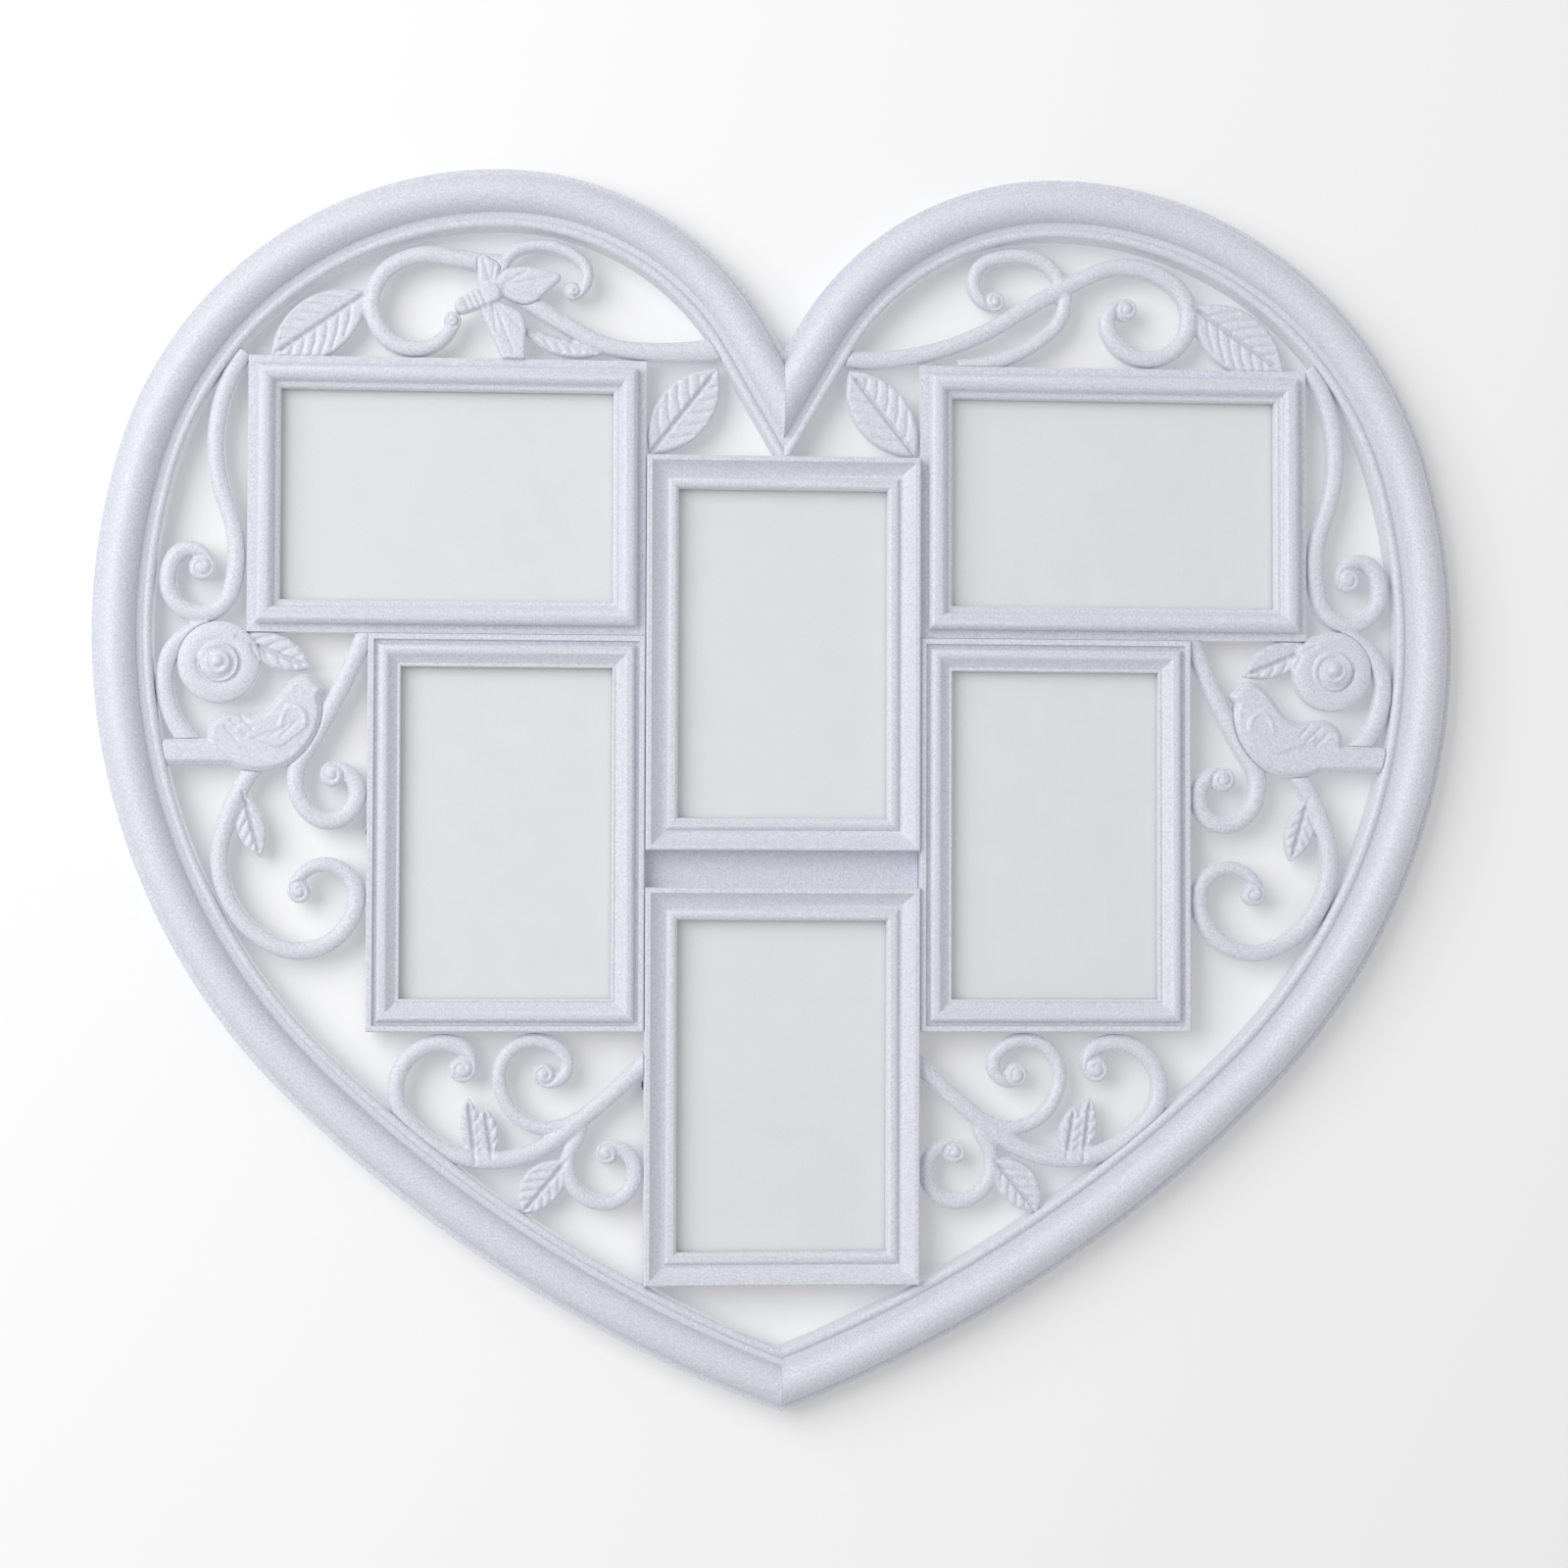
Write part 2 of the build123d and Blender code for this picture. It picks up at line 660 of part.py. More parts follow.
def keyhole_plate(x):
    """Steel hanger plate with a keyhole and two countersunk holes."""
    plan = RectangleRounded(plate_w, plate_h, plate_round) - Circle(entry_r)
    plan -= hull([(0, 0, slot_r), (0, slot_rise, slot_r)])
    plate = raised(Pos(x, 0) * plan, 0, plate_t)
    for side in (-plate_screw_x, plate_screw_x):
        plate -= plate_screw(x + side, joint_gap)
    return plate


def plate_screw(x, spare):
    """Countersunk screw of a hanger plate, larger all round by a given amount."""
    head = plate_head_r + spare
    core = plate_screw_r + spare
    end = plate_t + screw_bite
    profile = make_face(Polyline((0, 0), (head, 0), (core, plate_head_t), (core, end), (0, end), (0, 0)))
    plane = Plane((x, 0, 0), x_dir=(1, 0, 0), z_dir=(0, 0, -1))
    return revolve(plane * profile, Axis((x, 0, 0), (0, 1, 0)), 360)


nodes = {"rim_right": rim_half()}
kinds = {}
for name, (cx, cz, width, height, kind) in windows.items():
    if kind not in kinds:
        kinds[kind] = window_frame(width, height, kind)
    nodes["frame_" + name] = Pos(cx, 0, cz) * kinds[kind]
nodes["web_bar"] = block(0, lower_top + web_h / 2, frame_w, web_h - 2 * joint_gap, rail_back, web_front)

# Ornaments of the right half, each trimmed by the one it runs into
pocket = (upper_out_x, seam_z)
base = (frame_w / 2, side_foot)
crest = (inner_x + frame_h / 2, upper_top)
crest_share = frame_h / crest_room
flank_share = frame_w / flank_room
pocket_share = (upper_out_x - side_out_x) / pocket_room
lower_share = min(pocket_share, (rim_reach(seam_z - lower_drop) - side_out_x) / lower_room)
base_share = room(base) / base_room
notch_share = (upper_top - centre_top) / notch_room
bird_zone = placed(pocket, pocket_share, raised(bird_outline(), 0, clear_h))
rosette_x = pocket[0] + rosette_at[0]
rosette_z = pocket[1] + rosette_at[1]
rosette_zone = disc(rosette_x, rosette_z, rosette_r + joint_gap, 0, clear_h)
drop = Pos(0, 0, upper_top - seam_z)
spiral = drop * scale(scroll(*upper_line), by=flank_share)
upper = fitted(pocket, 1, spiral, scroll(*stem_line, branch_h))
nodes["scroll_upper_right"] = upper - rosette_zone - bird_zone
nodes["rosette_right"] = fitted(pocket, 1, rosette(), leaf(*rosette_leaf)) - bird_zone
nodes["bird_right"] = fitted(pocket, pocket_share, bird())
lower = fitted(pocket, lower_share, scroll(*lower_line), leaf(*lower_leaf))
nodes["scroll_lower_right"] = lower - bird_zone
small = fitted((side_out_x, seam_z), pocket_share, scroll(*small_line))
nodes["scroll_side_right"] = small - bird_zone
nodes["scroll_base_right"] = fitted(
    base, base_share, scroll(*base_line_a), scroll(*base_line_b, branch_h),
    scroll(*base_line_c, branch_h - branch_sink), leaf(*base_leaf_a), leaf(*base_leaf_b), leaf(*base_leaf_c),
)
nodes["leaf_notch_right"] = fitted((inner_x, centre_top), notch_share, leaf(*notch_leaf))
for name in [name for name in nodes if name.endswith("_right") and not name.startswith("frame_")]:
    nodes[name.replace("_right", "_left")] = mirror(nodes[name], about=Plane.YZ)

# Ornaments over the upper frames, which differ from side to side
sprig = scroll(*sprig_line, branch_h)
nodes["scroll_top_right"] = fitted(crest, crest_share, scroll(*ess_line), sprig, leaf(*top_leaf))
far_crest = (-crest[0], crest[1])
butterfly_zone = placed(far_crest, crest_share, raised(butterfly_outline(), butterfly_back, clear_h))
nodes["butterfly"] = fitted(far_crest, crest_share, butterfly())
nodes["scroll_top_left"] = fitted(
    far_crest, crest_share, scroll(*hook_line), scroll(*curl_line), scroll(*trail_line), leaf(*trail_leaf),
    mirror(leaf(*top_leaf), about=Plane.YZ),
) - butterfly_zone
for side in ("left", "right"):
    nodes["leaf_notch_" + side] -= nodes["scroll_top_" + side]

# Panes, prints, boards and turn buttons of each window
screws = Part()
for name, (cx, cz, width, height, _) in windows.items():
    across = print_h if width > height else print_w
    up = print_w if width > height else print_h
    nodes["pane_" + name] = block(cx, cz, across, up, pane_back, ledge_h)
    nodes["print_" + name] = block(cx, cz, across, up, print_back, pane_back)
    nodes["board_" + name] = block(cx, cz, across, up, rail_back, print_back)
    for number, (x, z, angle) in enumerate(pivots(width, height), 1):
        nodes[f"button_{name}_{number}"] = turn_button(cx + x, cz + z, angle)
        screws += button_screw(cx + x, cz + z)
nodes["button_screws"] = screws

# Hangers
nodes["hanger_right"] = keyhole_plate(hang_x)
nodes["hanger_left"] = keyhole_plate(-hang_x)
hanger_screws = Part()
for x in (hang_x - plate_screw_x, hang_x + plate_screw_x):
    hanger_screws += plate_screw(x, 0) + plate_screw(-x, 0)
nodes["hanger_screws"] = hanger_screws

for name, part in nodes.items():
    export_step(part, f"parts/{name}.step")
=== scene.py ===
"""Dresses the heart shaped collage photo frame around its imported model."""
import json
import logging
import math
from dataclasses import dataclass, field
from enum import Enum
from typing import Any

import bpy
import numpy as np
from mathutils import Euler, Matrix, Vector


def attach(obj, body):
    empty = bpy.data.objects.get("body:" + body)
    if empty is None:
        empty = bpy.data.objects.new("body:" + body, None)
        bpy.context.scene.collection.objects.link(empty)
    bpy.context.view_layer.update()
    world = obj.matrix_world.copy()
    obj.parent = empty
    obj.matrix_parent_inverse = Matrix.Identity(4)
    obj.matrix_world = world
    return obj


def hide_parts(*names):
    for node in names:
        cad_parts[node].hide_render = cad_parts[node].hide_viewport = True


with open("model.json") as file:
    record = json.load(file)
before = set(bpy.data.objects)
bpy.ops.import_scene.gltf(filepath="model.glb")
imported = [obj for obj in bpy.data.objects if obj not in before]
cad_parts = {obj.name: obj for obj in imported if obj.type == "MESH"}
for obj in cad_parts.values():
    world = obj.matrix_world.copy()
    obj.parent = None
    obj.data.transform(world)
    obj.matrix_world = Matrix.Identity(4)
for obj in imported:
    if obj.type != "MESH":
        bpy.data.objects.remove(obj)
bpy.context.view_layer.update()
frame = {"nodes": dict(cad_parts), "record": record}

MM = 0.001
BODY = "frame"
log = logging.getLogger("collage_frame")
Point = tuple[float, float]
Place = tuple[float, float, float]


class Slot(Enum):
    """Material slots of the record."""

    MOULDING = "moulding"
    PANE = "pane"
    PRINT = "print"
    BOARD = "board"
    BUTTON = "button"
    STEEL = "steel"


class Side(Enum):
    """Half of the heart that an ornament lies in."""

    RIGHT = "right"
    LEFT = "left"


class Element(Enum):
    """Kind of mesh element, by the name of its selection mode."""

    FACE = "FACE"
    EDGE = "EDGE"


def linear(hex_colour: str) -> tuple[float, float, float, float]:
    """Turn an sRGB hex colour into linear light.

    Args:
        hex_colour: Colour such as "#DBDEE8".

    Returns:
        Linear red, green, blue and an alpha of 1.
    """
    shares = [int(hex_colour[i:i + 2], 16) / 255 for i in (1, 3, 5)]
    light = [s / 12.92 if s <= 0.04045 else ((s + 0.055) / 1.055) ** 2.4 for s in shares]
    return (light[0], light[1], light[2], 1.0)


def add_node(tree: bpy.types.NodeTree, kind: str, **inputs: Any) -> bpy.types.Node:
    """Add a shader node, with its settings and links.

    Args:
        tree: Node tree that gets the node.
        kind: Blender's name for the node type.
        inputs: Sockets by name with _ for a space, or in_N by number, each a value or an output socket;
            a lower-case name that the node has as a property is set as one.

    Returns:
        The new node.
    """
    made = tree.nodes.new(kind)
    for key, value in inputs.items():
        if hasattr(made, key):
            setattr(made, key, value)
            continue
        name = int(key[3:]) if key.startswith("in_") else key.replace("_", " ")
        if isinstance(value, bpy.types.NodeSocket):
            tree.links.new(value, made.inputs[name])
        else:
            made.inputs[name].default_value = value
    return made


def blank_material(name: str) -> tuple[bpy.types.Material, bpy.types.NodeTree, bpy.types.Node]:
    """Make a material with nothing but its output node.

    Args:
        name: The material's name.

    Returns:
        The material, its node tree and its output node.
    """
    material = bpy.data.materials.new(name)
    material.use_nodes = True
    tree = material.node_tree
    tree.nodes.clear()
    return material, tree, add_node(tree, "ShaderNodeOutputMaterial")


@dataclass(frozen=True)
class MouldedPolystyrene:
    """Injection moulded polystyrene with a sprayed pearl coat.

    The eye sees a pale blue white, a soft sheen, the faint orange peel of the mould and a fine sparkle.
    """

    name: str = "moulded polystyrene"
    pale: str = "#E4E6EE"
    deep: str = "#CED0DB"
    roughness: float = 0.46
    rough_swing: float = 0.07
    ior: float = 1.59
    # The real grit is about 0.2 mm, too fine to show, so it is drawn four to five times as coarse.
    sparkle_mm: float = 0.9
    sparkle_depth_mm: float = 0.035
    sparkle_strength: float = 0.8
    sparkle_from: float = 0.3
    sparkle_to: float = 0.7
    peel_mm: float = 2.6
    peel_depth_mm: float = 0.06
    peel_strength: float = 0.6

    def build(self) -> bpy.types.Material:
        """Build the material.

        Returns:
            The finished material.
        """
        material, tree, out = blank_material(self.name)
        place = add_node(tree, "ShaderNodeTexCoord").outputs["Object"]
        grit = add_node(
            tree, "ShaderNodeTexNoise", Vector=place, Scale=1 / (self.sparkle_mm * MM), Detail=1.0,
        ).outputs["Fac"]
        peel = add_node(
            tree, "ShaderNodeTexNoise", Vector=place, Scale=1 / (self.peel_mm * MM), Detail=2.0,
        ).outputs["Fac"]
        share = add_node(
            tree, "ShaderNodeMapRange", Value=grit, From_Min=self.sparkle_from, From_Max=self.sparkle_to,
        ).outputs["Result"]
        colour = add_node(
            tree, "ShaderNodeMix", data_type="RGBA", in_0=share, in_6=linear(self.deep),
            in_7=linear(self.pale),
        ).outputs[2]
        rough = add_node(
            tree, "ShaderNodeMapRange", Value=peel, To_Min=self.roughness - self.rough_swing,
            To_Max=self.roughness + self.rough_swing,
        ).outputs["Result"]
        soft = add_node(
            tree, "ShaderNodeBump", Height=peel, Distance=self.peel_depth_mm * MM,
            Strength=self.peel_strength,
        ).outputs["Normal"]
        fine = add_node(
            tree, "ShaderNodeBump", Height=grit, Distance=self.sparkle_depth_mm * MM,
            Strength=self.sparkle_strength, Normal=soft,
        ).outputs["Normal"]
        shader = add_node(
            tree, "ShaderNodeBsdfPrincipled", Base_Color=colour, Roughness=rough, IOR=self.ior, Normal=fine,
        )
        tree.links.new(shader.outputs["BSDF"], out.inputs["Surface"])
        return material


@dataclass(frozen=True)
class ClearAcrylic:
    """Cast clear acrylic sheet: it shows the print plainly, with a faint reflection and a clean edge."""

    name: str = "clear acrylic sheet"
    tint: str = "#FBFCFD"
    roughness: float = 0.06
    ior: float = 1.49

    def build(self) -> bpy.types.Material:
        """Build the material: a see-through sheet with a gloss on its front.

        Returns:
            The finished material.
        """
        material, tree, out = blank_material(self.name)
        sheen = add_node(
            tree, "ShaderNodeBsdfGlossy", Color=linear(self.tint), Roughness=self.roughness,
        )
        clear = add_node(tree, "ShaderNodeBsdfTransparent", Color=linear(self.tint))
        mirror = add_node(tree, "ShaderNodeFresnel", IOR=self.ior).outputs["Fac"]
        inside = add_node(tree, "ShaderNodeNewGeometry").outputs["Backfacing"]
        gloss = add_node(
            tree, "ShaderNodeMath", operation="SUBTRACT", in_0=mirror, in_1=inside, use_clamp=True,
        ).outputs[0]
        both = add_node(
            tree, "ShaderNodeMixShader", in_0=gloss, in_1=clear.outputs["BSDF"],
            in_2=sheen.outputs["BSDF"],
        )
        tree.links.new(both.outputs["Shader"], out.inputs["Surface"])
        return material


@dataclass(frozen=True)
class Speckled:
    """A plain stock whose colour wanders between two tones over a fine and a broad pattern."""

    name: str
    pale: str
    deep: str
    roughness: float
    ior: float
    fine_mm: float
    broad_mm: float
    depth_mm: float
    stretch: Place = (1.0, 1.0, 1.0)
    metallic: float = 0.0
    fine_share: float = 0.6
    broad_share: float = 0.4
    tone_from: float = 0.35
    tone_to: float = 0.65
    rough_swing: float = 0.06
    strength: float = 0.7

    def build(self) -> bpy.types.Material:
        """Build the material.

        Returns:
            The finished material.
        """
        material, tree, out = blank_material(self.name)
        place = add_node(tree, "ShaderNodeTexCoord").outputs["Object"]
        drawn = add_node(tree, "ShaderNodeMapping", Vector=place, Scale=self.stretch).outputs["Vector"]
        fine = add_node(
            tree, "ShaderNodeTexNoise", Vector=drawn, Scale=1 / (self.fine_mm * MM), Detail=3.0,
        ).outputs["Fac"]
        broad = add_node(
            tree, "ShaderNodeTexNoise", Vector=drawn, Scale=1 / (self.broad_mm * MM), Detail=2.0,
        ).outputs["Fac"]
        part = add_node(
            tree, "ShaderNodeMath", operation="MULTIPLY", in_0=broad, in_1=self.broad_share,
        ).outputs[0]
        mean = add_node(
            tree, "ShaderNodeMath", operation="MULTIPLY_ADD", in_0=fine, in_1=self.fine_share, in_2=part,
        ).outputs[0]
        share = add_node(
            tree, "ShaderNodeMapRange", Value=mean, From_Min=self.tone_from, From_Max=self.tone_to,
        ).outputs["Result"]
        colour = add_node(
            tree, "ShaderNodeMix", data_type="RGBA", in_0=share, in_6=linear(self.deep),
            in_7=linear(self.pale),
        ).outputs[2]
        rough = add_node(
            tree, "ShaderNodeMapRange", Value=broad, To_Min=self.roughness - self.rough_swing,
            To_Max=self.roughness + self.rough_swing,
        ).outputs["Result"]
        relief = add_node(
            tree, "ShaderNodeBump", Height=fine, Distance=self.depth_mm * MM, Strength=self.strength,
        ).outputs["Normal"]
        shader = add_node(
            tree, "ShaderNodeBsdfPrincipled", Base_Color=colour, Roughness=rough, Normal=relief,
            Metallic=self.metallic,
        )
        if not self.metallic:
            shader.inputs["IOR"].default_value = self.ior
        tree.links.new(shader.outputs["BSDF"], out.inputs["Surface"])
        return material


# Coated photo paper, blank: an even off-white with hardly any tooth, pale grey in this light.
coated_paper = Speckled(
    name="coated photo paper", pale="#F2F0F0", deep="#EEECEC", roughness=0.5, ior=1.5,
    fine_mm=0.9, broad_mm=14.0, depth_mm=0.01,
)
# Pressed hardboard: brown wood fibre, matt, mottled a few millimetres across.
pressed_board = Speckled(
    name="pressed hardboard", pale="#9A7449", deep="#6B4B2B", roughness=0.78, ior=1.5,
    fine_mm=1.2, broad_mm=6.0, depth_mm=0.08,
)
# Injection moulded polypropylene: near black, with a satin spark finish.
polypropylene = Speckled(
    name="black polypropylene", pale="#3A3A3D", deep="#29292B", roughness=0.5, ior=1.49,
    fine_mm=0.7, broad_mm=5.0, depth_mm=0.04,
)
# Zinc plated steel: a pale grey metal, drawn along its length by the rolling mill.
zinc_steel = Speckled(
    name="zinc plated steel", pale="#C9CBCF", deep="#A9ACB2", roughness=0.34, ior=1.5,
    fine_mm=0.5, broad_mm=7.0, depth_mm=0.01, stretch=(0.12, 1.0, 1.0), metallic=1.0,
)


def deselect() -> None:
    """Leave nothing selected, in object mode."""
    if bpy.context.mode != "OBJECT":
        bpy.ops.object.mode_set(mode="OBJECT")
    bpy.ops.object.select_all(action="DESELECT")


def pick(piece: bpy.types.Object) -> None:
    """Select one object alone and make it active, in object mode.

    Args:
        piece: Object to select.
    """
    deselect()
    piece.select_set(True)
    bpy.context.view_layer.objects.active = piece


def add_copy(name: str, mesh: bpy.types.Mesh) -> bpy.types.Object:
    """Add an object with a mesh of its own and pick it.

    Args:
        name: The object's name.
        mesh: Mesh that is copied for it.

    Returns:
        The new object.
    """
    piece = bpy.data.objects.new(name, mesh.copy())
    bpy.context.scene.collection.objects.link(piece)
    pick(piece)
    return piece


def edit_all(piece: bpy.types.Object) -> None:
    """Enter edit mode with the whole mesh of one object selected.

    Args:
        piece: Object to edit.
    """
    pick(piece)
    bpy.ops.object.mode_set(mode="EDIT")
    bpy.ops.mesh.select_all(action="SELECT")


def edit_chosen(piece: bpy.types.Object, kind: Element, chosen: np.ndarray) -> None:
    """Enter edit mode with some faces or edges of one object selected.

    Args:
        piece: Object to edit.
        kind: Which kind of element is selected.
        chosen: Whether each of these elements is selected.
    """
    pick(piece)
    bpy.ops.object.mode_set(mode="EDIT")
    bpy.ops.mesh.select_mode(type=kind.value)
    bpy.ops.mesh.select_all(action="DESELECT")
    bpy.ops.object.mode_set(mode="OBJECT")
    elements = piece.data.polygons if kind is Element.FACE else piece.data.edges
    elements.foreach_set("select", chosen)
    bpy.ops.object.mode_set(mode="EDIT")


def apply_modifier(piece: bpy.types.Object, kind: str, **settings: Any) -> None:
    """Add a modifier to a piece and apply it.

    Args:
        piece: Object that gets the modifier.
        kind: Blender's name for the modifier type.
        settings: Properties of the modifier.
    """
    pick(piece)
    bpy.ops.object.modifier_add(type=kind)
    modifier = piece.modifiers[-1]
    for key, value in settings.items():
        setattr(modifier, key, value)
    bpy.ops.object.modifier_apply(modifier=modifier.name)


def dress(piece: bpy.types.Object, material: bpy.types.Material) -> None:
    """Give a piece one material all over."""
    piece.data.materials.clear()
    piece.data.materials.append(material)


@dataclass(frozen=True)
class Groove:
    """Line cut into the front of a moulding, or raised on it where its depth is negative, in millimetres."""

    path: tuple[Point, ...]
    width: float
    depth: float

    def mirrored(self) -> "Groove":
        """Return the same groove on the other side of the heart."""
        return Groove(tuple((-x, z) for x, z in self.path), self.width, self.depth)

    def sink(self, places: np.ndarray) -> np.ndarray:
        """Work out how far the groove sinks each place.

        Args:
            places: X and Z of the places, in millimetres.

        Returns:
            Depth at each place, in millimetres.
        """
        nearest = np.full(len(places), np.inf)
        for start, end in zip(self.path, self.path[1:]):
            a = np.array(start)
            run = np.array(end) - a
            share = np.clip((places - a) @ run / max(run @ run, 1e-9), 0, 1)
            gap = np.linalg.norm(places - a - share[:, None] * run, axis=1)
            nearest = np.minimum(nearest, gap)
        return self.depth * np.exp(-((nearest / (self.width / 2)) ** 2))


@dataclass
class MouldedForm:
    """Moulded form that stands for one CAD node, with its loose triangles joined and its curves smooth."""

    node: str
    finish: bpy.types.Material
    slot: Slot = Slot.MOULDING
    crease: float = 32.0
    merge: float = 0.004

    def start(self) -> bpy.types.Object:
        """Copy the node's mesh and merge it.

        Returns:
            The new piece.
        """
        piece = add_copy("moulded_" + self.node, frame["nodes"][self.node].data)
        if piece.data.has_custom_normals:
            bpy.ops.mesh.customdata_custom_splitnormals_clear()
        edit_all(piece)
        bpy.ops.mesh.remove_doubles(threshold=self.merge * MM)
        bpy.ops.object.mode_set(mode="OBJECT")
        return piece

    def shape(self, piece: bpy.types.Object) -> None:
        """Leave the merged form as it is."""

    def build(self) -> bpy.types.Object:
        """Build, shade and dress the piece.

        Returns:
            The finished piece.
        """
        piece = self.start()
        self.shape(piece)
        pick(piece)
        bpy.ops.object.shade_smooth_by_angle(angle=math.radians(self.crease))
        dress(piece, self.finish)
        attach(piece, BODY)
        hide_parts(self.node)
        log.info("%s: %d faces", piece.name, len(piece.data.polygons))
        return piece


@dataclass
class Ornament(MouldedForm):
    """Scroll, leaf, bird or butterfly: the CAD form with soft moulded edges and cut lines.

    What stands higher than press_from keeps only press_share of the rest of its height. Grooves fade out
    where the surface turns away from the front: face_from is the slope at which they start, and face_span
    how much more it takes until they are full.
    """

    grooves: list[Groove] = field(default_factory=list)
    crease: float = 70.0
    voxel: float = 0.55
    soften: int = 2
    press_from: float = math.inf
    press_share: float = 0.4
    face_from: float = 0.15
    face_span: float = 0.35

    def shape(self, piece: bpy.types.Object) -> None:
        """Round the edges, then cut the grooves into the front.

        Args:
            piece: The merged form.
        """
        apply_modifier(piece, "REMESH", mode="VOXEL", voxel_size=self.voxel * MM)
        apply_modifier(piece, "SMOOTH", factor=0.5, iterations=self.soften)
        self.cut(piece)

    def cut(self, piece: bpy.types.Object) -> None:
        """Press what stands too proud down to a low relief, and sink the front along the grooves.

        Args:
            piece: The softened form.
        """
        mesh = piece.data
        count = len(mesh.vertices)
        places = np.empty(count * 3)
        normals = np.empty(count * 3)
        mesh.vertices.foreach_get("co", places)
        mesh.vertices.foreach_get("normal", normals)
        places = places.reshape(-1, 3)
        towards = -normals.reshape(-1, 3)[:, 1]
        facing = np.clip((towards - self.face_from) / self.face_span, 0, 1)
        plan = places[:, (0, 2)] / MM
        proud = np.maximum(-places[:, 1] / MM - self.press_from, 0)
        sink = np.zeros(count)
        for groove in self.grooves:
            depth = groove.sink(plan)
            sink = np.where(np.abs(depth) > np.abs(sink), depth, sink)
        places[:, 1] += (sink * facing + proud * (1 - self.press_share)) * MM
        mesh.vertices.foreach_set("co", places.ravel())
        mesh.update()


@dataclass(frozen=True)
class Leaf:
    """Leaf from base to tip, with its bulge to each side and its pairs of side veins, in millimetres."""

    base: Point
    tip: Point
    left: float
    right: float
    pairs: int
    vein_w: float = 1.5
    vein_d: float = 0.7
    vein_angle: float = 44.0
    # The midrib ends short of the tip and is deeper than the side veins.
    rib_run: float = 0.95
    rib_depth: float = 1.3
    # The side veins leave a stretch of the midrib and end short of the edge.
    vein_first: float = 0.1
    vein_spread: float = 0.72
    vein_run: float = 0.88
    # The blade's width follows a sine that leans towards the base.
    blade_shift: float = 0.1
    blade_power: float = 0.8
    # Each side vein bows outwards on its way.
    bow_at: float = 0.55
    bow_along: float = 0.85
    bow_across: float = 1.05

    def veins(self) -> list[Groove]:
        """Draw the midrib and the side veins.

        Returns:
            One groove for each vein.
        """
        base = Vector(self.base)
        along = Vector(self.tip) - base
        length = along.length
        along.normalize()
        across = Vector((-along.y, along.x))
        rib_end = base + along * length * self.rib_run
        grooves = [Groove((self.base, tuple(rib_end)), self.vein_w, self.vein_d * self.rib_depth)]
        lean = math.radians(self.vein_angle)
        for k in range(self.pairs):
            share = self.vein_first + self.vein_spread * (k + 0.5) / self.pairs
            root = base + along * length * share
            fullness = math.sin(math.pi * min(1.0, share + self.blade_shift) ** self.blade_power)
            for side, bulge in ((1, self.left), (-1, self.right)):
                reach = max(0.0, bulge * fullness * self.vein_run) / math.sin(lean)
                ahead = along * math.cos(lean)
                aside = across * side * math.sin(lean)
                middle = root + reach * self.bow_at * (ahead * self.bow_along + aside * self.bow_across)
                end = root + reach * (ahead + aside)
                grooves.append(Groove((tuple(root), tuple(middle), tuple(end)), self.vein_w, self.vein_d))
        return grooves


@dataclass(frozen=True)
class Eye:
    """Round end of a scroll, cut with a small swirl, in millimetres and degrees."""

    centre: Point
    radius: float
    heading: float
    turn: int
    width: float = 1.3
    depth: float = 0.8
    # The swirl starts square to the scroll's heading, just outside the edge, and narrows as it winds.
    first: float = 90.0
    sweep: float = 470.0
    outer: float = 1.02
    narrowing: float = 0.74
    steps: int = 24

    def swirl(self) -> Groove:
        """Draw the swirl that winds inwards from the edge of the eye.

        Returns:
            The swirl as one groove.
        """
        path = []
        for k in range(self.steps + 1):
            share = k / self.steps
            angle = math.radians(self.heading + self.turn * (self.first + self.sweep * share))
            reach = self.radius * (self.outer - self.narrowing * share)
            path.append((self.centre[0] + reach * math.cos(angle), self.centre[1] + reach * math.sin(angle)))
        return Groove(tuple(path), self.width, self.depth)


